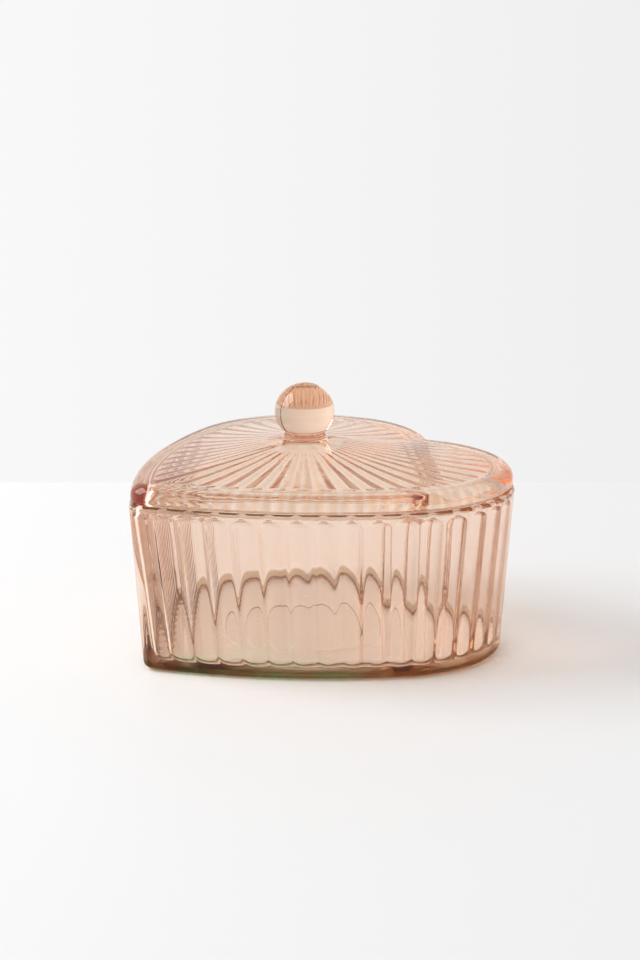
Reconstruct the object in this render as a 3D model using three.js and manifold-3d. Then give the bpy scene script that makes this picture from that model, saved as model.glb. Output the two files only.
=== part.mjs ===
// A heart-shaped trinket box in pressed glass: a fluted tub, and a loose lid with a ball knob.
// Millimetres, +Z up. Origin on the table under the middle of the box; the heart's point faces -Y.

import * as THREE from 'three';
import { mergeVertices } from 'three/addons/utils/BufferGeometryUtils.js';
import Module from 'manifold-3d';

// ---- Heart outline at the rim, drawn as four arcs a side ----
const WIDTH = 140;
const LOBE_RADIUS = 45.8;
const SIDE_RADIUS = 173.6;
const SIDE_ANGLE = THREE.MathUtils.degToRad(-26.3); // where the side arc runs into the lobe arc
const TIP_RADIUS = 7.4;
const TIP_RADIUS_MIN = 4.0; // the point is never sharper than this lower down or on the inside
const LID_TIP_RADIUS = 9.8; // the lid's point is blunter than the tub's
const CLEFT_RADIUS = 1.4;

// ---- Tub ----
const TUB_HEIGHT = 59.5;
const DRAFT = 4.7; // how far the wall leans in from the rim down to the base
const BASE_EDGE = 2.8; // rounding round the base
const RIM_EDGE = 0.6;
const WALL = 3.2; // at the rim
const WALL_FOOT = 5.6; // at the foot, on the ridges between two flutes
const FLOOR = 3.2;
const FLOOR_FILLET = 4.2;

// ---- Flutes: upright in the tub, radial under the lid ----
const FLUTES = 44;
const STEPS_PER_FLUTE = 4;
const STATION_INSET = 3.0; // the line inside the rim's outline that the flutes divide evenly
const FLUTE_DEPTH = 1.0;
const FLUTE_TOP = 4.8; // below the rim, where a flute has its full depth
const FLUTE_RUN_OUT = 2.6; // height over which a flute fades into the plain band
const RAY_DEPTH = 0.9; // of the V-grooves under the lid, at their outer ends
const RAY_WIDTH = 0.9; // share of a flute's width that its V-groove takes
const RAY_START = 0.14; // reach at which the rays begin
const RAY_SPREAD = 0.7; // below 1 a ray soon gets deep

// ---- Lid ----
const SEAT_GAP = 0.3; // between the rim and the lid that rests on it
const LID_SETBACK = 0.6; // lid edge inside the tub's rim
const LID_BAND = 7.2; // height of the lid above the rim, at its edge
const SHOULDER = 4.4;
const LID_GLASS = 3.8;
const FLANGE_DEPTH = 2.4; // locating ring that drops into the mouth
const FLANGE_CLEARANCE = 1.4;
const FLANGE_WIDTH = 2.0;
const LEDGE = 2.6; // rounding between the flange and the plate's underside

// ---- Knob, pressed in one with the lid ----
const KNOB_Y = 4.7;
const COLLAR_RADIUS = 7.4;
const COLLAR_Z = 74.4; // where the plate meets the collar
const COLLAR_TOP = 75.7;
const NECK_RADIUS = 6.5;
const BALL_FOOT = 76.9;
const BALL_RADIUS = 10.5;
const BALL_HALF_HEIGHT = 9.9;
const BALL_Z = 83.8;
const KNOB_SEGMENTS = 36;
const PLATE_HUB = 7.0; // the plate's flat middle, hidden inside the collar
const TENT_POWER = 1.3; // above 1 the lid rises faster close to the knob

const STEPS = FLUTES * STEPS_PER_FLUTE;
const LOBE = new THREE.Vector2(WIDTH / 2 - LOBE_RADIUS, 0);
const SIDE = LOBE.clone().add(polar(LOBE_RADIUS - SIDE_RADIUS, SIDE_ANGLE));
const CENTRE_Y = outlineCentreY();

function polar(radius, angle) {
  return new THREE.Vector2(radius * Math.cos(angle), radius * Math.sin(angle));
}

// The right half of the outline as arcs from the point round to the cleft, moved in by inset.
// A hollow arc has its centre outside the heart.
function heartArcs(inset, outerTipRadius = TIP_RADIUS) {
  const tipRadius = Math.max(outerTipRadius - inset, TIP_RADIUS_MIN);
  const sideRadius = SIDE_RADIUS - inset;
  const tipY = SIDE.y - Math.sqrt((sideRadius - tipRadius) ** 2 - SIDE.x ** 2);
  const cleftY = Math.sqrt((LOBE_RADIUS + CLEFT_RADIUS) ** 2 - LOBE.x ** 2);
  const tipEnd = Math.atan2(tipY - SIDE.y, -SIDE.x);
  const lobeEnd = Math.atan2(cleftY, -LOBE.x);
  return [
    { centre: new THREE.Vector2(0, tipY), radius: tipRadius, from: -Math.PI / 2, to: tipEnd },
    { centre: SIDE, radius: sideRadius, from: tipEnd, to: SIDE_ANGLE },
    { centre: LOBE, radius: LOBE_RADIUS - inset, from: SIDE_ANGLE, to: lobeEnd },
    {
      centre: new THREE.Vector2(0, cleftY),
      radius: CLEFT_RADIUS + inset,
      from: lobeEnd - Math.PI,
      to: -Math.PI / 2,
    },
  ];
}

// The outline's own frame has y = 0 through the lobes' centres; the part's has it at mid-length.
function outlineCentreY() {
  const tip = heartArcs(0)[0];
  return (LOBE_RADIUS + tip.centre.y - tip.radius) / 2;
}

// Stations round the heart, evenly spaced along the inside of the wall, starting at the point.
// Each is an arc of the right half, how far along that arc it lies, and which side it is on.
function heartStations() {
  const arcs = heartArcs(STATION_INSET);
  const lengths = arcs.map((arc) => arc.radius * Math.abs(arc.to - arc.from));
  const half = lengths.reduce((sum, length) => sum + length, 0);
  const stations = [];
  for (let i = 0; i < STEPS; i += 1) {
    const right = i <= STEPS / 2;
    let left = (2 * half * (right ? i : STEPS - i)) / STEPS;
    let arc = 0;
    while (arc < lengths.length - 1 && left > lengths[arc]) {
      left -= lengths[arc];
      arc += 1;
    }
    stations.push({ arc, along: left / lengths[arc], side: right ? 1 : -1 });
  }
  return stations;
}

const STATIONS = heartStations();

function heartPoint(index, inset, tipRadius = TIP_RADIUS) {
  const { arc, along, side } = STATIONS[index];
  const { centre, radius, from, to } = heartArcs(inset, tipRadius)[arc];
  const point = polar(radius, THREE.MathUtils.lerp(from, to, along)).add(centre);
  return new THREE.Vector2(side * point.x, point.y - CENTRE_Y);
}

// 0 on the centre line of a flute, 1 on the ridge between two. A flute lies on the point.
function fromMiddle(index) {
  const across = (index % STEPS_PER_FLUTE) / STEPS_PER_FLUTE;
  return 2 * Math.min(across, 1 - across);
}

// A ring of points at one height, inset from the rim's outline. Flutes cut back into the glass.
function wallRing(inset, z, fluteDepth = 0) {
  return STATIONS.map((_, i) => {
    const point = heartPoint(i, inset - fluteDepth * (1 - fromMiddle(i) ** 2));
    return new THREE.Vector3(point.x, point.y, z);
  });
}

function lidEdgeRing(inset, z) {
  return STATIONS.map((_, i) => {
    const point = heartPoint(i, inset, LID_TIP_RADIUS);
    return new THREE.Vector3(point.x, point.y, z);
  });
}

// A ring on the lid's plate. reach is 0 on the hub under the knob and 1 on the outline at outerInset.
// The rays are V-grooves along the flutes' middles, rayDepth deep.
function plateRing(outerInset, tipRadius, reach, z, rayDepth = 0) {
  return STATIONS.map((_, i) => {
    const outward = heartPoint(i, outerInset, tipRadius).sub(new THREE.Vector2(0, KNOB_Y));
    const radius = THREE.MathUtils.lerp(PLATE_HUB, outward.length(), reach);
    outward.setLength(radius);
    const height = z + rayDepth * Math.max(1 - fromMiddle(i) / RAY_WIDTH, 0);
    return new THREE.Vector3(outward.x, outward.y + KNOB_Y, height);
  });
}

// Closed skin over a list of rings of equal length, with a fan over the first and the last.
function loft(rings, firstCentre, lastCentre) {
  const count = rings[0].length;
  const points = [...rings.flat(), firstCentre, lastCentre];
  const indices = [];
  for (let i = 0; i < count; i += 1) {
    const next = (i + 1) % count;
    indices.push(points.length - 2, next, i);
    for (let ring = 0; ring < rings.length - 1; ring += 1) {
      const low = ring * count;
      const high = low + count;
      indices.push(low + i, low + next, high + next, low + i, high + next, high + i);
    }
    const last = (rings.length - 1) * count;
    indices.push(points.length - 1, last + i, last + next);
  }
  const geometry = new THREE.BufferGeometry().setFromPoints(points);
  geometry.setIndex(indices);
  return geometry;
}

function draftAt(z) {
  return DRAFT * (1 - z / TUB_HEIGHT);
}

// How far the inner wall stands in from the rim's outline. The wall thickens towards the foot.
function insideAt(z) {
  return draftAt(z) + THREE.MathUtils.lerp(WALL_FOOT, WALL, z / TUB_HEIGHT);
}

// ---- The tub ----
function tubGeometry() {
  const edgeMiddle = BASE_EDGE * (1 - Math.SQRT1_2);
  const filletMiddle = FLOOR_FILLET * (1 - Math.SQRT1_2);
  const filletTop = FLOOR + FLOOR_FILLET;
  const fluteFull = TUB_HEIGHT - FLUTE_TOP;
  const fluteStart = fluteFull + FLUTE_RUN_OUT;
  const floorInset = insideAt(FLOOR) + FLOOR_FILLET;
  const outside = [
    wallRing(draftAt(0) + BASE_EDGE, 0),
    wallRing(draftAt(edgeMiddle) + edgeMiddle, edgeMiddle),
    wallRing(draftAt(BASE_EDGE), BASE_EDGE),
    wallRing(0, TUB_HEIGHT - RIM_EDGE),
    wallRing(RIM_EDGE, TUB_HEIGHT),
  ];
  const inside = [
    wallRing(WALL - RIM_EDGE, TUB_HEIGHT),
    wallRing(WALL, TUB_HEIGHT - RIM_EDGE),
    wallRing(insideAt(fluteStart), fluteStart),
    wallRing(insideAt(fluteFull), fluteFull, FLUTE_DEPTH),
    wallRing(insideAt(filletTop), filletTop, FLUTE_DEPTH),
    wallRing(insideAt(FLOOR) + filletMiddle, FLOOR + filletMiddle, FLUTE_DEPTH),
    wallRing(floorInset, FLOOR, FLUTE_DEPTH),
  ];
  const under = new THREE.Vector3(0, KNOB_Y, 0);
  const floor = new THREE.Vector3(0, KNOB_Y, FLOOR);
  return loft([...outside, ...inside], under, floor);
}

// ---- The lid's plate, without its knob ----
function lidPlateGeometry() {
  const seat = TUB_HEIGHT + SEAT_GAP;
  const crown = TUB_HEIGHT + LID_BAND;
  const shoulderInset = LID_SETBACK + SHOULDER;
  const shoulderMiddle = SHOULDER * (1 - Math.SQRT1_2);
  const flangeOuter = WALL + FLANGE_CLEARANCE;
  const flangeInner = flangeOuter + FLANGE_WIDTH;
  const ceiling = crown - LID_GLASS;
  const ledgeMiddle = LEDGE * (1 - Math.SQRT1_2);
  const tent = (reach) => (COLLAR_Z - crown) * (1 - reach) ** TENT_POWER;
  const top = (reach) => plateRing(shoulderInset, LID_TIP_RADIUS, reach, crown + tent(reach));
  const under = (reach) => {
    const spread = Math.max((reach - RAY_START) / (1 - RAY_START), 0) ** RAY_SPREAD;
    const rayDepth = reach < 1 ? RAY_DEPTH * spread : 0;
    return plateRing(flangeInner + LEDGE, TIP_RADIUS, reach, ceiling + tent(reach), rayDepth);
  };
  const centre = (z) => new THREE.Vector3(0, KNOB_Y, z);
  const rings = [
    under(0),
    under(RAY_START),
    under(0.35),
    under(0.65),
    under(0.95),
    under(1),
    wallRing(flangeInner + ledgeMiddle, ceiling - ledgeMiddle),
    wallRing(flangeInner, ceiling - LEDGE),
    wallRing(flangeInner, TUB_HEIGHT - FLANGE_DEPTH),
    wallRing(flangeOuter, TUB_HEIGHT - FLANGE_DEPTH),
    wallRing(flangeOuter, seat),
    lidEdgeRing(LID_SETBACK + RIM_EDGE, seat),
    lidEdgeRing(LID_SETBACK, seat + RIM_EDGE),
    lidEdgeRing(LID_SETBACK, crown - SHOULDER),
    lidEdgeRing(LID_SETBACK + shoulderMiddle, crown - shoulderMiddle),
    top(1),
    top(0.6),
    top(0.25),
    top(0),
  ];
  return loft(rings, centre(COLLAR_Z - LID_GLASS), centre(COLLAR_Z));
}

// ---- The knob: collar, neck and ball, turned about its own axis ----
function knobGeometry() {
  const root = COLLAR_Z - LID_GLASS / 2;
  const profile = [
    new THREE.Vector2(0, root),
    new THREE.Vector2(COLLAR_RADIUS, root),
    new THREE.Vector2(COLLAR_RADIUS, COLLAR_TOP),
    new THREE.Vector2(NECK_RADIUS, COLLAR_TOP),
    new THREE.Vector2(NECK_RADIUS, BALL_FOOT),
  ];
  const start = Math.asin((BALL_FOOT - BALL_Z) / BALL_HALF_HEIGHT);
  const ballSteps = 12;
  for (let i = 0; i <= ballSteps; i += 1) {
    const angle = THREE.MathUtils.lerp(start, Math.PI / 2, i / ballSteps);
    const radius = i === ballSteps ? 0 : BALL_RADIUS * Math.cos(angle);
    profile.push(new THREE.Vector2(radius, BALL_Z + BALL_HALF_HEIGHT * Math.sin(angle)));
  }
  const geometry = new THREE.LatheGeometry(profile, KNOB_SEGMENTS);
  geometry.rotateX(Math.PI / 2);
  geometry.translate(0, KNOB_Y, 0);
  return geometry;
}

// ---- Joining the knob to the plate ----
const wasm = await Module();
wasm.setup();

function toSolid(geometry) {
  const bare = geometry.clone();
  bare.deleteAttribute('normal');
  bare.deleteAttribute('uv');
  const merged = mergeVertices(bare, 1e-4);
  const mesh = new wasm.Mesh({
    numProp: 3,
    vertProperties: merged.attributes.position.array,
    triVerts: Uint32Array.from(merged.index.array),
  });
  return new wasm.Manifold(mesh);
}

function fromSolid(solid) {
  const mesh = solid.getMesh();
  const geometry = new THREE.BufferGeometry();
  geometry.setAttribute('position', new THREE.BufferAttribute(mesh.vertProperties, 3));
  geometry.setIndex(new THREE.BufferAttribute(mesh.triVerts, 1));
  return geometry;
}

function lidGeometry() {
  return fromSolid(toSolid(lidPlateGeometry()).add(toSolid(knobGeometry())));
}

// ---- Assembly ----
function glassPiece(name, geometry) {
  const glass = new THREE.MeshStandardMaterial({
    color: 0xe9bfa6,
    roughness: 0.05,
    metalness: 0,
    transparent: true,
    opacity: 0.55,
  });
  const mesh = new THREE.Mesh(geometry, glass);
  mesh.name = name;
  return mesh;
}

const trinketBox = new THREE.Group();
trinketBox.add(glassPiece('heart_tub', tubGeometry()));
trinketBox.add(glassPiece('heart_lid', lidGeometry()));

export default trinketBox;
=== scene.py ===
"""A heart-shaped trinket box in pressed peach glass: a fluted tub and a loose lid with a ball knob."""

import math

import bpy
import numpy as np
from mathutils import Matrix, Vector, noise


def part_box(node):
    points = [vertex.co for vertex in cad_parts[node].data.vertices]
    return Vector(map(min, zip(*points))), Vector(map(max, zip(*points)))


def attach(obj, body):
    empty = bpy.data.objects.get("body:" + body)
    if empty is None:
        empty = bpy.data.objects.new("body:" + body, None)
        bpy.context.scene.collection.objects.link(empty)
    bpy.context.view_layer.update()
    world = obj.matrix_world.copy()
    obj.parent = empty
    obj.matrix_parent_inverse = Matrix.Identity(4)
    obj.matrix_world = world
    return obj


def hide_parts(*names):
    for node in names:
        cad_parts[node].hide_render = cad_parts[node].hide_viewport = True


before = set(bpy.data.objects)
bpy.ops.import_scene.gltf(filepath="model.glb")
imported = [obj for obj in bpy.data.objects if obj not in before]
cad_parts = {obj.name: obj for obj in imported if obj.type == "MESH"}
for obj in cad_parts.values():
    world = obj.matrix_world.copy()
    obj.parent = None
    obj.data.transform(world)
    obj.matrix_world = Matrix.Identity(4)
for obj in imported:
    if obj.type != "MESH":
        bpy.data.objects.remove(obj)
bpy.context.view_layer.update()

# ---- Sizes of the design, in millimetres, and the frame's size of one millimetre ----
WIDTH = 140.0
tub_low, tub_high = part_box("heart_tub")
MM = (tub_high.x - tub_low.x) / WIDTH
TUB_HEIGHT = tub_high.z / MM
KNOB_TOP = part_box("heart_lid")[1].z / MM

# The outline's arcs
LOBE_RADIUS = 45.8
SIDE_RADIUS = 173.6
SIDE_ANGLE = math.radians(-26.3)
TIP_RADIUS = 7.4
TIP_RADIUS_MIN = 4.0
LID_TIP_RADIUS = 9.8
CLEFT_RADIUS = 1.4

# The tub
DRAFT = 4.7
BASE_EDGE = 2.8
RIM_OUTER_EDGE = 1.7
RIM_INNER_EDGE = 0.8
WALL = 3.2
WALL_FOOT = 5.6
FLOOR = 3.2
FILLET_IN_FLUTE = 3.4
FILLET_ON_RIDGE = 3.9
MOULD_RING_RADIUS = 28.0
MOULD_RING_Y = 8.0
MOULD_RING_STEP = 0.35
MOULD_RING_WIDTH = 0.7
FLAT_FOOT_HEIGHT = 0.5

# The flutes inside the tub's wall
FLUTES = 44
FLUTE_DEPTH = 1.0
FLUTE_POWER = 2.1
RIDGE_SOFTNESS = 0.24
FLUTE_TOP = 2.2
FLUTE_ARCH = 2.6

# The lid
SEAT_GAP = 0.3
SEAT_EDGE = 0.4
LID_SETBACK = 0.6
LID_BAND = 7.2
LID_FOOT_EDGE = 1.6
SHOULDER = 4.4
LID_GLASS = 3.8
FLANGE_DEPTH = 2.4
FLANGE_CLEARANCE = 1.4
FLANGE_WIDTH = 2.0
FLANGE_EDGE = 0.7
FLANGE_FACE = 1.0
LEDGE = 2.6
RAY_DEPTH = 0.9
RAY_WIDTH = 0.9
RAY_SOFTNESS = 0.15
RAY_START = 13.5
RAY_END = 0.8
RAY_ROUNDING = 2.4
RAY_SPREAD = 0.7
TENT_POWER = 1.3

# The knob
KNOB_Y = 4.7
COLLAR_RADIUS = 7.4
COLLAR_Z = 74.4
COLLAR_FOOT_RISE = 0.3
COLLAR_TOP = 75.7
COLLAR_EDGE = 0.5
NECK_RADIUS = 6.5
NECK_FILLET = 0.2
BALL_RADIUS = 10.5
BALL_HALF_HEIGHT = 9.9
BALL_Z = KNOB_TOP - BALL_HALF_HEIGHT
BALL_FOOT = 76.9
BALL_FOOT_EDGE = 0.35
SEAM_HEIGHT = 0.12
SEAM_WIDTH = 0.25
SEAM_STEP = 0.14
SEAM_STEP_AT_SEAM = 0.7

# The mesh, and the waves of its surface
STEPS_PER_FLUTE = 20
STATION_INSET = 3.0
WAVE_SIZE = 14.0
WAVE_HEIGHT = 0.05

# ---- The glass ----
GLASS_IOR = 1.5
GLASS_DENSITY = 20.0
TUB_TINT = (0.985, 0.885, 0.815)
TUB_ABSORBED = (0.76, 0.68, 0.60)
LID_TINT = (0.965, 0.87, 0.77)
LID_ABSORBED = (0.88, 0.55, 0.42)
# Painted shade for the tub's foot: brown, and olive in patches, standing in for the dark colour of light
# trapped in the thick glass foot
FOOT_SHADE_BROWN = (0.65, 0.50, 0.36)
FOOT_SHADE_OLIVE = (0.50, 0.66, 0.40)

# How much of the peach film each stretch of the skin carries, where 0 is bare glass,
# and the share of it that is left where a streak is thinnest
FILM_UNDERSIDE = 0.2
FILM_OUTSIDE = 1.0
FILM_INSIDE = 0.35
FILM_FLOOR = 0.0
FILM_RAY_FLANK = 1.2
FILM_FLANGE = 0.45
FILM_LID = 0.75
FILM_KNOB = 1.0
FILM_THINNEST_STREAK = 0.72

# The painted shade on the tub's foot, standing in for the dark colour of light trapped in the thick foot:
# how high it reaches, and where on the right flank it turns olive, in millimetres
FOOT_HEIGHT = 4.4
FOOT_FADE = 1.4
OLIVE_X = (-2.0, 4.0)
OLIVE_Y = (2.0, -18.0)

# Noise: the width of its lumps in metres, how many times as tall they are, and its detail.
# Each range is the stretch of noise over which the glass changes from one state to the other.
STREAKS = (0.006, 6.0, 2.0)
OLIVE_PATCHES = (0.016, 1.0, 2.0)
POLISH_PATCHES = (0.010, 1.0, 4.0)
DIMPLES = (0.004, 2.5, 1.0)
STREAK_RANGE = (0.3, 0.7)
OLIVE_RANGE = (0.50, 0.66)
POLISH_RANGE = (0.4, 0.7)
DULLEST_POLISH = 0.03
DIMPLE_STRENGTH = 0.5
DIMPLE_DEPTH = 0.00006

# ---- The heart outline ----
LOBE_X = WIDTH / 2 - LOBE_RADIUS
SIDE_X = LOBE_X + (LOBE_RADIUS - SIDE_RADIUS) * math.cos(SIDE_ANGLE)
SIDE_Y = (LOBE_RADIUS - SIDE_RADIUS) * math.sin(SIDE_ANGLE)
CLEFT_Y = math.sqrt((LOBE_RADIUS + CLEFT_RADIUS) ** 2 - LOBE_X**2)


def tip_centre_y(inset, tip_radius):
    return SIDE_Y - np.sqrt((SIDE_RADIUS - inset - tip_radius) ** 2 - SIDE_X**2)


CENTRE_Y = (LOBE_RADIUS + tip_centre_y(0.0, TIP_RADIUS) - TIP_RADIUS) / 2


def heart_arcs(inset, outer_tip_radius=TIP_RADIUS):
    """The right half's four arcs, from the point to the cleft: centre x, centre y, radius, start, end."""
    inset = np.asarray(inset, float)
    zero = np.zeros_like(inset)
    tip_radius = np.maximum(outer_tip_radius - inset, TIP_RADIUS_MIN)
    tip_y = tip_centre_y(inset, tip_radius)
    tip_end = np.arctan2(tip_y - SIDE_Y, -SIDE_X)
    lobe_end = math.atan2(CLEFT_Y, -LOBE_X)
    tip = (zero, tip_y, tip_radius, zero - math.pi / 2, tip_end)
    side = (zero + SIDE_X, zero + SIDE_Y, SIDE_RADIUS - inset, tip_end, zero + SIDE_ANGLE)
    lobe = (zero + LOBE_X, zero, LOBE_RADIUS - inset, zero + SIDE_ANGLE, zero + lobe_end)
    cleft = (zero, zero + CLEFT_Y, CLEFT_RADIUS + inset, zero + lobe_end - math.pi, zero - math.pi / 2)
    return np.array([tip, side, lobe, cleft])


class Stations:
    """Places round the heart, evenly spaced, starting at the point, where a flute has its middle."""

    def __init__(self):
        arcs = heart_arcs(STATION_INSET)
        lengths = arcs[:, 2] * np.abs(arcs[:, 4] - arcs[:, 3])
        ends = np.concatenate([[0.0], np.cumsum(lengths)])
        step = np.arange(FLUTES * STEPS_PER_FLUTE) / STEPS_PER_FLUTE
        around = 2 * ends[-1] * step / FLUTES
        self.side = np.where(around <= ends[-1], 1.0, -1.0)
        walked = np.where(around <= ends[-1], around, 2 * ends[-1] - around)
        self.arc = np.clip(np.searchsorted(ends, walked) - 1, 0, 3)
        self.along = (walked - ends[self.arc]) / lengths[self.arc]
        self.from_middle = 2 * np.abs(step - np.round(step))
        self.count = len(step)


STATIONS = Stations()


def heart_points(inset, tip_radius=TIP_RADIUS):
    """x and y of every station on the outline moved in by inset, which may differ between stations."""
    inset = np.broadcast_to(np.asarray(inset, float), (STATIONS.count,))
    arcs = heart_arcs(inset, tip_radius)
    x, y, radius, start, end = arcs[STATIONS.arc, :, np.arange(STATIONS.count)].T
    angle = start + (end - start) * STATIONS.along
    return STATIONS.side * (x + radius * np.cos(angle)), y + radius * np.sin(angle) - CENTRE_Y


def flute_section(end_distance=0.0):
    """Share of a flute's depth at every station: 1 in the middle, 0 on the soft-edged ridges.
    end_distance runs from 0 to 1 where the flute ends in an arch."""
    ridge_distance = 1 - STATIONS.from_middle
    softened = np.sqrt(ridge_distance**2 + RIDGE_SOFTNESS**2) - RIDGE_SOFTNESS
    softened /= math.sqrt(1 + RIDGE_SOFTNESS**2) - RIDGE_SOFTNESS
    return np.maximum(1 - (1 - softened) ** FLUTE_POWER - end_distance**2, 0)


def ray_section():
    """Share of a ray's depth at every station: a V with a soft bottom, and flat glass beside it."""
    softened = np.sqrt(STATIONS.from_middle**2 + RAY_SOFTNESS**2) - RAY_SOFTNESS
    return np.maximum(1 - softened / (math.hypot(RAY_WIDTH, RAY_SOFTNESS) - RAY_SOFTNESS), 0)


def wall_ring(inset, z, tip_radius=TIP_RADIUS):
    x, y = heart_points(inset, tip_radius)
    return np.column_stack([x, y, np.broadcast_to(z, x.shape)])


def plate_ring(outline_inset, reach, z, hub=0.0, centre_y=KNOB_Y, tip_radius=TIP_RADIUS):
    """A ring between a circle round (0, centre_y), at reach 0, and the moved-in outline, at reach 1."""
    x, y = heart_points(outline_inset, tip_radius)
    y = y - centre_y
    distance = np.hypot(x, y)
    scale = (hub + (distance - hub) * reach) / distance
    return np.column_stack([x * scale, y * scale + centre_y, np.broadcast_to(z, x.shape)])


def round_ring(radius, z, centre_y=KNOB_Y):
    return plate_ring(0.0, 0.0, z, hub=radius, centre_y=centre_y)


def quarter(steps):
    """(sin, 1 - cos) pairs along a quarter circle."""
    angles = np.linspace(0, math.pi / 2, steps)
    return [(math.sin(a), 1 - math.cos(a)) for a in angles]


# ---- The tub: each list of rings is one stretch of the skin, in order ----
def draft_at(z):
    return DRAFT * (1 - z / TUB_HEIGHT)


def inside_at(z):
    """How far the inner wall, on a ridge, stands in from the rim's outline."""
    return draft_at(z) + WALL + (WALL_FOOT - WALL) * (1 - z / TUB_HEIGHT)


def underside_rings():
    """The flat foot, with the shallow round step that the mould's valve leaves."""
    inner = MOULD_RING_RADIUS - MOULD_RING_WIDTH
    outer = MOULD_RING_RADIUS
    rings = []
    for radius in (1.0, inner / 2, inner - 0.4):
        rings.append(round_ring(radius, MOULD_RING_STEP, MOULD_RING_Y))
    for share in np.linspace(0, 1, 7):
        lift = MOULD_RING_STEP * (1 + math.cos(math.pi * share)) / 2
        rings.append(round_ring(inner + (outer - inner) * share, lift, MOULD_RING_Y))
    for reach in (0.02, 0.3, 0.6, 0.85, 0.97):
        rings.append(plate_ring(draft_at(0) + BASE_EDGE, reach, 0.0, outer, MOULD_RING_Y))
    return rings


def outer_wall_rings():
    """Round the base's edge, up the smooth outside and over the outer half of the rim."""
    rings = []
    for sine, rise in quarter(8):
        z = BASE_EDGE * rise
        rings.append(wall_ring(draft_at(z) + BASE_EDGE * (1 - sine), z))
    for z in np.linspace(BASE_EDGE, TUB_HEIGHT - RIM_OUTER_EDGE, 22)[1:]:
        rings.append(wall_ring(draft_at(z), z))
    for sine, rise in quarter(8)[1:]:
        rings.append(wall_ring(RIM_OUTER_EDGE * rise, TUB_HEIGHT - RIM_OUTER_EDGE * (1 - sine)))
    return rings


def inner_wall_rings():
    """The inner half of the rim, the flutes' arched tops and the fluted wall, down to the fillet."""
    rings = []
    for sine, rise in quarter(6):
        inset = WALL - RIM_INNER_EDGE * (1 - sine)
        rings.append(wall_ring(inset, TUB_HEIGHT - RIM_INNER_EDGE * rise))
    flute_start = TUB_HEIGHT - FLUTE_TOP
    for z in np.linspace(flute_start, flute_start - FLUTE_ARCH, 12):
        end = 1 - (flute_start - z) / FLUTE_ARCH
        rings.append(wall_ring(inside_at(z) - FLUTE_DEPTH * flute_section(end), z))
    wall_foot = FLOOR + FILLET_ON_RIDGE
    for z in np.linspace(flute_start - FLUTE_ARCH, wall_foot, 18)[1:]:
        rings.append(wall_ring(inside_at(z) - FLUTE_DEPTH * flute_section(), z))
    return rings


def floor_rings():
    """The fillet at the wall's foot, which is tighter in the flutes, and the flat floor."""
    fillet = FILLET_IN_FLUTE + (FILLET_ON_RIDGE - FILLET_IN_FLUTE) * (1 - flute_section())
    rings = []
    for sine, drop in quarter(12)[::-1]:
        z = FLOOR + fillet * drop
        rings.append(wall_ring(inside_at(z) - FLUTE_DEPTH * flute_section() + fillet * (1 - sine), z))
    edge = inside_at(FLOOR) - FLUTE_DEPTH * flute_section() + fillet
    for reach in (0.97, 0.9, 0.75, 0.55, 0.35, 0.15, 0.02):
        rings.append(plate_ring(edge, reach, FLOOR))
    return rings


# ---- The lid ----
SEAT = TUB_HEIGHT + SEAT_GAP
CROWN = TUB_HEIGHT + LID_BAND
FLANGE_OUTER = WALL + FLANGE_CLEARANCE
HOLLOW = FLANGE_OUTER + FLANGE_WIDTH


def tent(reach):
    """How far the lid's plate rises over its edge: 0 at reach 1, and up to the collar at reach 0."""
    return (COLLAR_Z - CROWN) * (1 - reach) ** TENT_POWER


def under_plate_rings():
    """The plate's underside: plain round the axis, then a fan of rays that end near the hollow's wall."""
    ceiling = CROWN - LID_GLASS
    x, y = heart_points(HOLLOW + LEDGE)
    length = np.hypot(x, y - KNOB_Y) - COLLAR_RADIUS
    cap = TENT_POWER * (COLLAR_Z - CROWN) / np.mean(length) * COLLAR_RADIUS / 2
    rings = [
        round_ring(share * COLLAR_RADIUS, ceiling + tent(0.0) + cap * (1 - share**2))
        for share in np.linspace(0.05, 1.0, 8)[:-1]
    ]
    for reach in np.linspace(0.0, 1.0, 48):
        from_start = reach * length - (RAY_START - COLLAR_RADIUS)
        from_end = (1 - reach) * length - RAY_END
        end = np.clip(1 - np.minimum(from_start, from_end) / RAY_ROUNDING, 0, 1)
        spread = np.clip(from_start / length, 0, 1) ** RAY_SPREAD
        depth = RAY_DEPTH * spread * np.maximum(ray_section() - end**2, 0)
        rings.append(plate_ring(HOLLOW + LEDGE, reach, ceiling + tent(reach) + depth, COLLAR_RADIUS))
    for sine, rise in quarter(9)[1:]:
        rings.append(wall_ring(HOLLOW + LEDGE * (1 - sine), ceiling - LEDGE * rise))
    return rings


def flange_rings():
    """Down the inside of the locating flange, round its foot and back up to the seat."""
    foot = TUB_HEIGHT - FLANGE_DEPTH
    rings = [wall_ring(HOLLOW, foot + FLANGE_EDGE + FLANGE_FACE)]
    for sine, rise in quarter(6):
        rings.append(wall_ring(HOLLOW - FLANGE_EDGE * rise, foot + FLANGE_EDGE * (1 - sine)))
    for sine, rise in quarter(6):
        rings.append(wall_ring(FLANGE_OUTER + FLANGE_EDGE * (1 - sine), foot + FLANGE_EDGE * rise))
    for sine, rise in quarter(4):
        rings.append(wall_ring(FLANGE_OUTER - SEAT_EDGE * rise, SEAT - SEAT_EDGE * (1 - sine)))
    return rings


def lid_outside_rings():
    """Round the foot of the lid's band, up the band, over the shoulder and in to the collar."""
    rings = []
    for sine, rise in quarter(7):
        inset = LID_SETBACK + LID_FOOT_EDGE * (1 - sine)
        rings.append(wall_ring(inset, SEAT + LID_FOOT_EDGE * rise, LID_TIP_RADIUS))
    for sine, rise in quarter(16):
        inset = LID_SETBACK + SHOULDER * rise
        rings.append(wall_ring(inset, CROWN - SHOULDER * (1 - sine), LID_TIP_RADIUS))
    inset = LID_SETBACK + SHOULDER
    for reach in np.linspace(1.0, 0.0, 26)[1:]:
        z = CROWN + tent(reach)
        rings.append(plate_ring(inset, reach, z, COLLAR_RADIUS, tip_radius=LID_TIP_RADIUS))
    return rings


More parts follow.
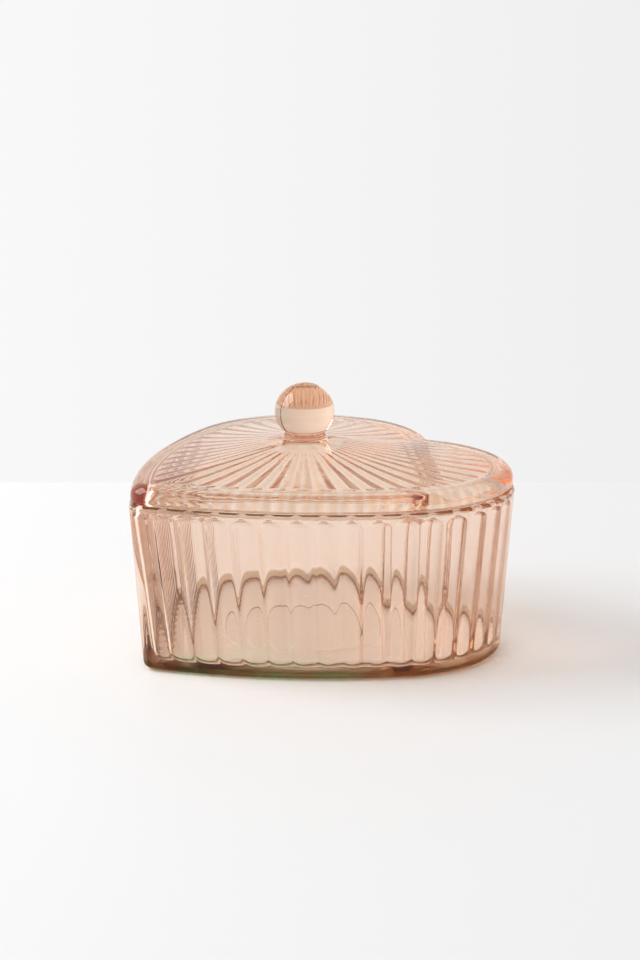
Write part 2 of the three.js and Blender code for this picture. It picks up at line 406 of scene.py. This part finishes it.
def knob_rings():
    """A low round collar, a narrower neck, and the ball with its flat foot."""
    rings = [round_ring(COLLAR_RADIUS, COLLAR_Z + COLLAR_FOOT_RISE)]
    for sine, rise in quarter(6):
        radius = COLLAR_RADIUS - COLLAR_EDGE * rise
        rings.append(round_ring(radius, COLLAR_TOP - COLLAR_EDGE * (1 - sine)))
    rings.append(round_ring(NECK_RADIUS + NECK_FILLET, COLLAR_TOP))
    rings.append(round_ring(NECK_RADIUS, COLLAR_TOP + NECK_FILLET))
    rings.append(round_ring(NECK_RADIUS, BALL_FOOT - NECK_FILLET))
    rings.append(round_ring(NECK_RADIUS + NECK_FILLET, BALL_FOOT))
    start = math.asin((BALL_FOOT + BALL_FOOT_EDGE - BALL_Z) / BALL_HALF_HEIGHT)
    foot_radius = BALL_RADIUS * math.cos(start)
    for sine, rise in quarter(6)[:-1]:
        radius = foot_radius - BALL_FOOT_EDGE * (1 - sine)
        rings.append(round_ring(radius, BALL_FOOT + BALL_FOOT_EDGE * rise))
    for angle in np.linspace(start, math.pi / 2, 44)[:-1]:
        ring = round_ring(BALL_RADIUS * math.cos(angle), BALL_Z + BALL_HALF_HEIGHT * math.sin(angle))
        rings.append(with_seam(ring, (0.0, KNOB_Y, BALL_Z)))
    return rings


def with_seam(ring, centre):
    """The mould's parting line in the plane x = 0: a fine ridge, with the left half a little proud."""
    offset = ring - np.array(centre)
    radius = np.linalg.norm(offset, axis=1)[:, None]
    across = ring[:, 0] / SEAM_WIDTH
    full_step = np.clip(np.abs(ring[:, 0]) / BALL_RADIUS + SEAM_STEP_AT_SEAM, 0, 1)
    step = SEAM_STEP * (1 - np.tanh(across)) / 2 * full_step
    height = SEAM_HEIGHT * np.exp(-(across**2)) + step
    return ring + offset / radius * height[:, None]


# ---- Making a mesh from rings ----
def ring_mesh(name, stretches, first_centre, last_centre):
    """A closed skin over rings of equal length, with a fan over the first ring and over the last.
    stretches lists (rings, film), where film may differ from station to station."""
    count = STATIONS.count
    rings = [ring for stretch, _ in stretches for ring in stretch]
    films = [np.broadcast_to(film, count) for stretch, film in stretches for _ in stretch]
    points = np.vstack([*rings, first_centre, last_centre]) * MM
    here = np.arange(count)
    after = (here + 1) % count
    faces = [(len(points) - 2, int(b), int(a)) for a, b in zip(here, after)]
    for ring in range(len(rings) - 1):
        low = ring * count
        high = low + count
        faces += [(int(low + a), int(low + b), int(high + b), int(high + a)) for a, b in zip(here, after)]
    last = (len(rings) - 1) * count
    faces += [(len(points) - 1, int(last + a), int(last + b)) for a, b in zip(here, after)]
    mesh = bpy.data.meshes.new(name)
    mesh.from_pydata(points.tolist(), [], faces)
    mesh.update()
    mesh.polygons.foreach_set("use_smooth", [True] * len(mesh.polygons))
    film = mesh.attributes.new("film", "FLOAT", "POINT")
    film.data.foreach_set("value", np.concatenate([*films, [films[0][0], films[-1][0]]]))
    piece = bpy.data.objects.new(name, mesh)
    bpy.context.scene.collection.objects.link(piece)
    return piece


def add_waviness(piece, flat_below):
    """The slight unevenness of pressed glass: points move a little along their normals.
    Points no higher than flat_below, in metres, stay where they are."""
    vertices = piece.data.vertices
    places = np.empty(3 * len(vertices), np.float32)
    normals = np.empty(3 * len(vertices), np.float32)
    vertices.foreach_get("co", places)
    piece.data.vertex_normals.foreach_get("vector", normals)
    places = places.reshape(-1, 3)
    swell = np.array([noise.noise(Vector(place) / (WAVE_SIZE * MM)) for place in places])
    swell[places[:, 2] <= flat_below] = 0
    places += normals.reshape(-1, 3) * (swell * WAVE_HEIGHT * MM)[:, None]
    vertices.foreach_set("co", places.ravel())
    piece.data.update()


# ---- Materials ----
class Wiring:
    """Short ways to add nodes to a node tree and to link them."""

    def __init__(self, tree):
        self.nodes = tree.nodes
        self.links = tree.links

    def noise_of(self, place, lumps):
        """Noise over place, from 0 to 1, where lumps is (size, stretch upwards, detail)."""
        size, stretch, detail = lumps
        scale = self.nodes.new("ShaderNodeMapping")
        scale.inputs["Scale"].default_value = (1 / size, 1 / size, 1 / (size * stretch))
        self.links.new(place, scale.inputs["Vector"])
        texture = self.nodes.new("ShaderNodeTexNoise")
        texture.inputs["Scale"].default_value = 1.0
        texture.inputs["Detail"].default_value = detail
        self.links.new(scale.outputs["Vector"], texture.inputs["Vector"])
        return texture.outputs["Fac"]

    def mapped(self, value, low, high, at_low, at_high):
        level = self.nodes.new("ShaderNodeMapRange")
        level.inputs["From Min"].default_value = low
        level.inputs["From Max"].default_value = high
        level.inputs["To Min"].default_value = at_low
        level.inputs["To Max"].default_value = at_high
        self.links.new(value, level.inputs["Value"])
        return level.outputs["Result"]

    def multiplied(self, a, b):
        product = self.nodes.new("ShaderNodeMath")
        product.operation = "MULTIPLY"
        self.links.new(a, product.inputs[0])
        self.links.new(b, product.inputs[1])
        return product.outputs["Value"]

    def mixed(self, factor, a, b):
        """a where factor is 0 and b where it's 1, each a colour or a socket."""
        mix = self.nodes.new("ShaderNodeMix")
        mix.data_type = "RGBA"
        self.links.new(factor, mix.inputs["Factor"])
        for socket, colour in ((mix.inputs["A"], a), (mix.inputs["B"], b)):
            if isinstance(colour, tuple):
                socket.default_value = (*colour, 1)
            else:
                self.links.new(colour, socket)
        return mix.outputs["Result"]


def painted_foot_shade(wiring, place, film, tint):
    """tint, but with painted shade on the foot of the tub: brown, with olive patches on the right flank
    near the point, standing in for the dark colour of light trapped in the thick glass foot.
    """
    part = wiring.nodes.new("ShaderNodeSeparateXYZ")
    wiring.links.new(place, part.inputs["Vector"])
    foot = wiring.mapped(part.outputs["Z"], FOOT_HEIGHT * MM, (FOOT_HEIGHT - FOOT_FADE) * MM, 0.0, 1.0)
    right = wiring.mapped(part.outputs["X"], OLIVE_X[0] * MM, OLIVE_X[1] * MM, 0.0, 1.0)
    near_point = wiring.mapped(part.outputs["Y"], OLIVE_Y[0] * MM, OLIVE_Y[1] * MM, 0.0, 1.0)
    patches = wiring.mapped(wiring.noise_of(place, OLIVE_PATCHES), *OLIVE_RANGE, 1.0, 0.0)
    olive = wiring.multiplied(patches, wiring.multiplied(right, near_point))
    return wiring.mixed(wiring.multiplied(film, foot), tint, wiring.mixed(olive, FOOT_SHADE_BROWN, FOOT_SHADE_OLIVE))


def glass_material(name, film_tint, absorbed, with_painted_foot_shade=False):
    """Clear glass whose body absorbs with depth, with a tinted film on the faces that carry one."""
    material = bpy.data.materials.new(name)
    material.use_nodes = True
    wiring = Wiring(material.node_tree)
    nodes = wiring.nodes
    links = wiring.links
    nodes.remove(nodes["Principled BSDF"])
    output = nodes["Material Output"]
    place = nodes.new("ShaderNodeTexCoord").outputs["Object"]

    attribute = nodes.new("ShaderNodeAttribute")
    attribute.attribute_name = "film"
    film = attribute.outputs["Fac"]
    streaks = wiring.mapped(wiring.noise_of(place, STREAKS), *STREAK_RANGE, FILM_THINNEST_STREAK, 1.0)
    tint = wiring.mixed(wiring.multiplied(film, streaks), (1.0, 1.0, 1.0), film_tint)
    # On the tub, painted shade on the foot stands in for the dark colour of light trapped in the thick
    # glass
    if with_painted_foot_shade:
        tint = painted_foot_shade(wiring, place, film, tint)

    shader = nodes.new("ShaderNodeBsdfGlass")
    shader.inputs["IOR"].default_value = GLASS_IOR
    polish = wiring.mapped(wiring.noise_of(place, POLISH_PATCHES), *POLISH_RANGE, 0.0, DULLEST_POLISH)
    links.new(polish, shader.inputs["Roughness"])
    dimples = nodes.new("ShaderNodeBump")
    dimples.inputs["Strength"].default_value = DIMPLE_STRENGTH
    dimples.inputs["Distance"].default_value = DIMPLE_DEPTH
    links.new(wiring.noise_of(place, DIMPLES), dimples.inputs["Height"])
    links.new(dimples.outputs["Normal"], shader.inputs["Normal"])
    links.new(tint, shader.inputs["Color"])
    links.new(shader.outputs["BSDF"], output.inputs["Surface"])
    body = nodes.new("ShaderNodeVolumeAbsorption")
    body.inputs["Color"].default_value = (*absorbed, 1)
    body.inputs["Density"].default_value = GLASS_DENSITY
    links.new(body.outputs["Volume"], output.inputs["Volume"])
    return material


def matte_material(name, colour, roughness):
    material = bpy.data.materials.new(name)
    material.use_nodes = True
    shader = material.node_tree.nodes["Principled BSDF"]
    shader.inputs["Base Color"].default_value = (*colour, 1)
    shader.inputs["Roughness"].default_value = roughness
    return material


# ---- Pieces ----
def make_tub():
    underside = underside_rings()
    stretches = [
        (underside[:-1], FILM_UNDERSIDE),
        (underside[-1:], FILM_OUTSIDE),
        (outer_wall_rings(), FILM_OUTSIDE),
        (inner_wall_rings(), FILM_INSIDE),
        (floor_rings(), FILM_FLOOR),
    ]
    tub = ring_mesh("tub_glass", stretches, (0, MOULD_RING_Y, MOULD_RING_STEP), (0, KNOB_Y, FLOOR))
    add_waviness(tub, FLAT_FOOT_HEIGHT * MM)
    # The tub's glass carries painted shade on its foot
    tub.data.materials.append(glass_material("tub_peach_glass", TUB_TINT, TUB_ABSORBED, with_painted_foot_shade=True))
    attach(tub, "box")
    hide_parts("heart_tub")


def make_lid():
    ray = ray_section()
    stretches = [
        (under_plate_rings(), FILM_RAY_FLANK * 4 * ray * (1 - ray)),
        (flange_rings(), FILM_FLANGE),
        (lid_outside_rings(), FILM_LID),
        (knob_rings(), FILM_KNOB),
    ]
    under_centre = (0, KNOB_Y, COLLAR_Z - LID_GLASS)
    lid = ring_mesh("lid_glass", stretches, under_centre, (0, KNOB_Y, KNOB_TOP))
    add_waviness(lid, 0.0)
    lid.data.materials.append(glass_material("lid_peach_glass", LID_TINT, LID_ABSORBED))
    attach(lid, "lid")
    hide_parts("heart_lid")


# ---- Stage, light and camera, with distances in metres ----
CAMERA_AZIMUTH = math.radians(54.64)
CAMERA_ELEVATION = math.radians(13.70)
CAMERA_DISTANCE = 1.19
CAMERA_LENS = 124.9
AIM = Vector((0.0, 0.0113, 0.0576))

TABLE_COLOUR = (0.92, 0.92, 0.918)
TABLE_ROUGHNESS = 0.6
TABLE_TOP = -0.0003
TABLE_THICKNESS = 0.5
TABLE_FAR = 0.24
TABLE_NEAR = 1.2
TABLE_HALF_WIDTH = 0.9

STUDIO_COLOUR = (0.905, 0.905, 0.91, 1)
KEY_PLACE = (-0.9, -1.0, 1.0)
KEY_AIM = (0, 0, 0.03)
KEY_SIZE = 1.2
KEY_POWER = 21.0
LIGHT_BOUNCES = 128


def towards_camera(azimuth, elevation):
    return Vector(
        (
            math.sin(azimuth) * math.cos(elevation),
            -math.cos(azimuth) * math.cos(elevation),
            math.sin(elevation),
        )
    )


def make_table():
    """A pale table top whose straight far edge runs square to the view."""
    back = -towards_camera(CAMERA_AZIMUTH, 0.0)
    across = Vector((-back.y, back.x, 0.0))
    depths = (TABLE_FAR, TABLE_FAR, -TABLE_NEAR, -TABLE_NEAR)
    sides = (TABLE_HALF_WIDTH, -TABLE_HALF_WIDTH, -TABLE_HALF_WIDTH, TABLE_HALF_WIDTH)
    corners = []
    for z in (TABLE_TOP, -TABLE_THICKNESS):
        for depth, side in zip(depths, sides):
            corner = back * depth + across * side
            corners.append((corner.x, corner.y, z))
    faces = [(0, 1, 2, 3), (7, 6, 5, 4)]
    faces += [(a + 4, (a + 1) % 4 + 4, (a + 1) % 4, a) for a in range(4)]
    mesh = bpy.data.meshes.new("table")
    mesh.from_pydata(corners, [], faces)
    table = bpy.data.objects.new("table", mesh)
    bpy.context.scene.collection.objects.link(table)
    table.data.materials.append(matte_material("table_white", TABLE_COLOUR, TABLE_ROUGHNESS))


def make_world():
    """A pale studio: brightest on the left, dimmer overhead and behind the camera."""
    world = bpy.data.worlds.new("studio")
    world.use_nodes = True
    wiring = Wiring(world.node_tree)
    front = towards_camera(CAMERA_AZIMUTH, 0.0)
    right = Vector((-front.y, front.x, 0.0))
    up = Vector((0, 0, 1))
    direction = wiring.nodes.new("ShaderNodeTexCoord").outputs["Generated"]

    def ramp(axis, start, end, at_start, at_end):
        """at_start where a direction leans along axis by start, changing to at_end where by end."""
        along = wiring.nodes.new("ShaderNodeVectorMath")
        along.operation = "DOT_PRODUCT"
        along.inputs[1].default_value = axis
        wiring.links.new(direction, along.inputs[0])
        return wiring.mapped(along.outputs["Value"], start, end, at_start, at_end)

    sideways = wiring.multiplied(ramp(right, -0.8, 0.8, 1.35, 0.65), ramp(front, -0.2, 0.8, 1.0, 0.8))
    strength = wiring.multiplied(sideways, ramp(up, 0.3, 0.9, 1.0, 0.62))
    background = wiring.nodes["Background"]
    background.inputs["Color"].default_value = STUDIO_COLOUR
    wiring.links.new(strength, background.inputs["Strength"])
    bpy.context.scene.world = world


def make_softbox():
    light = bpy.data.lights.new("key", "AREA")
    light.shape = "RECTANGLE"
    light.size = KEY_SIZE
    light.size_y = KEY_SIZE
    light.energy = KEY_POWER
    lamp = bpy.data.objects.new("key", light)
    lamp.location = KEY_PLACE
    lamp.rotation_euler = (Vector(KEY_AIM) - Vector(KEY_PLACE)).to_track_quat("-Z", "Y").to_euler()
    bpy.context.scene.collection.objects.link(lamp)


def make_camera():
    camera = bpy.data.cameras.new("camera")
    camera.sensor_fit = "VERTICAL"
    camera.sensor_height = 36
    camera.lens = CAMERA_LENS
    camera.clip_start = 0.01
    holder = bpy.data.objects.new("camera", camera)
    view = towards_camera(CAMERA_AZIMUTH, CAMERA_ELEVATION)
    holder.location = AIM + view * CAMERA_DISTANCE
    holder.rotation_euler = (-view).to_track_quat("-Z", "Y").to_euler()
    bpy.context.scene.collection.objects.link(holder)
    bpy.context.scene.camera = holder


def set_up_render():
    """Light that is trapped in the glass needs many bounces, or its red-brown lines come out black."""
    scene = bpy.context.scene
    scene.view_settings.view_transform = "Standard"
    scene.cycles.use_denoising = True
    scene.cycles.max_bounces = LIGHT_BOUNCES
    scene.cycles.transmission_bounces = LIGHT_BOUNCES
    scene.cycles.glossy_bounces = LIGHT_BOUNCES
    scene.cycles.diffuse_bounces = 4
    scene.cycles.blur_glossy = 0.0


make_tub()
make_lid()
make_table()
make_world()
make_softbox()
make_camera()
set_up_render()
